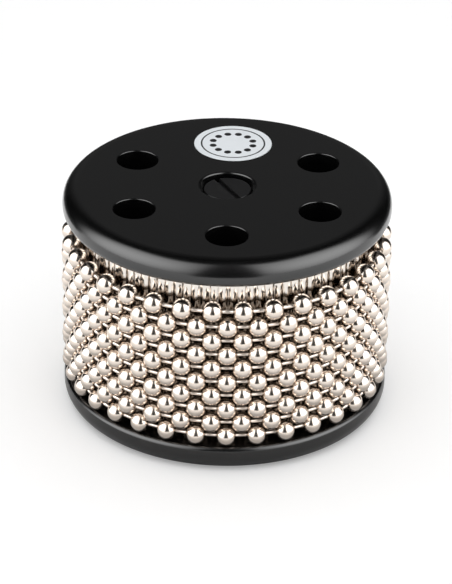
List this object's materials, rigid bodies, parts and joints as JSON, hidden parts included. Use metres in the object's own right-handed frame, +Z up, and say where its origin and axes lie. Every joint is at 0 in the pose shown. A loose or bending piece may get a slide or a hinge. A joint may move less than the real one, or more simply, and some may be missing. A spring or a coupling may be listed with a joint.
{
  "type": "cabasa",
  "caption": "Hand cabasa without a handle: ball chain loops that turn round a corrugated steel drum, clamped between two black discs with finger holes.",
  "frame": {"origin": "centre of the bottom disc's outer face, on which the part stands", "axes": "+Z up along the drum's axis, towards the disc with the round label; -Y towards the middle finger hole, opposite the label"},
  "size_m": [0.089, 0.089, 0.0624],
  "materials": {
    "disc": "satin black moulded plastic",
    "label": "satin white plastic film",
    "screw": "black plated steel, satin",
    "drum": "plain black moulded plastic",
    "sleeve": "bright corrugated stainless steel sheet",
    "ball": "bright nickel plated steel",
    "link": "bright nickel plated steel wire"
  },
  "bodies": {
    "drum": {"top_disc": "disc", "bottom_disc": "disc", "round_label": "label", "centre_screw": "screw", "barrel_nut": "screw", "inner_drum": "drum", "corrugated_sleeve": "sleeve"},
    "loop_01": {"loop_01_balls": "ball", "loop_01_links": "link"},
    "loop_02": {"loop_02_balls": "ball", "loop_02_links": "link"},
    "loop_03": {"loop_03_balls": "ball", "loop_03_links": "link"},
    "loop_04": {"loop_04_balls": "ball", "loop_04_links": "link"},
    "loop_05": {"loop_05_balls": "ball", "loop_05_links": "link"},
    "loop_06": {"loop_06_balls": "ball", "loop_06_links": "link"},
    "loop_07": {"loop_07_balls": "ball", "loop_07_links": "link"},
    "loop_08": {"loop_08_balls": "ball", "loop_08_links": "link"},
    "loop_09": {"loop_09_balls": "ball", "loop_09_links": "link"},
    "loop_10": {"loop_10_balls": "ball", "loop_10_links": "link"}
  },
  "joints": [
    {"name": "loop_01_turn", "type": "hinge", "parent": "drum", "child": "loop_01", "pos_m": [0, 0, 0], "axis": [0, 0, 1], "continuous": true},
    {"name": "loop_02_turn", "type": "hinge", "parent": "drum", "child": "loop_02", "pos_m": [0, 0, 0], "axis": [0, 0, 1], "continuous": true},
    {"name": "loop_03_turn", "type": "hinge", "parent": "drum", "child": "loop_03", "pos_m": [0, 0, 0], "axis": [0, 0, 1], "continuous": true},
    {"name": "loop_04_turn", "type": "hinge", "parent": "drum", "child": "loop_04", "pos_m": [0, 0, 0], "axis": [0, 0, 1], "continuous": true},
    {"name": "loop_05_turn", "type": "hinge", "parent": "drum", "child": "loop_05", "pos_m": [0, 0, 0], "axis": [0, 0, 1], "continuous": true},
    {"name": "loop_06_turn", "type": "hinge", "parent": "drum", "child": "loop_06", "pos_m": [0, 0, 0], "axis": [0, 0, 1], "continuous": true},
    {"name": "loop_07_turn", "type": "hinge", "parent": "drum", "child": "loop_07", "pos_m": [0, 0, 0], "axis": [0, 0, 1], "continuous": true},
    {"name": "loop_08_turn", "type": "hinge", "parent": "drum", "child": "loop_08", "pos_m": [0, 0, 0], "axis": [0, 0, 1], "continuous": true},
    {"name": "loop_09_turn", "type": "hinge", "parent": "drum", "child": "loop_09", "pos_m": [0, 0, 0], "axis": [0, 0, 1], "continuous": true},
    {"name": "loop_10_turn", "type": "hinge", "parent": "drum", "child": "loop_10", "pos_m": [0, 0, 0], "axis": [0, 0, 1], "continuous": true}
  ],
  "couplings": [
    {"joint": "loop_02_turn", "follows": "loop_01_turn", "ratio": 1},
    {"joint": "loop_03_turn", "follows": "loop_01_turn", "ratio": 1},
    {"joint": "loop_04_turn", "follows": "loop_01_turn", "ratio": 1},
    {"joint": "loop_05_turn", "follows": "loop_01_turn", "ratio": 1},
    {"joint": "loop_06_turn", "follows": "loop_01_turn", "ratio": 1},
    {"joint": "loop_07_turn", "follows": "loop_01_turn", "ratio": 1},
    {"joint": "loop_08_turn", "follows": "loop_01_turn", "ratio": 1},
    {"joint": "loop_09_turn", "follows": "loop_01_turn", "ratio": 1},
    {"joint": "loop_10_turn", "follows": "loop_01_turn", "ratio": 1}
  ]
}
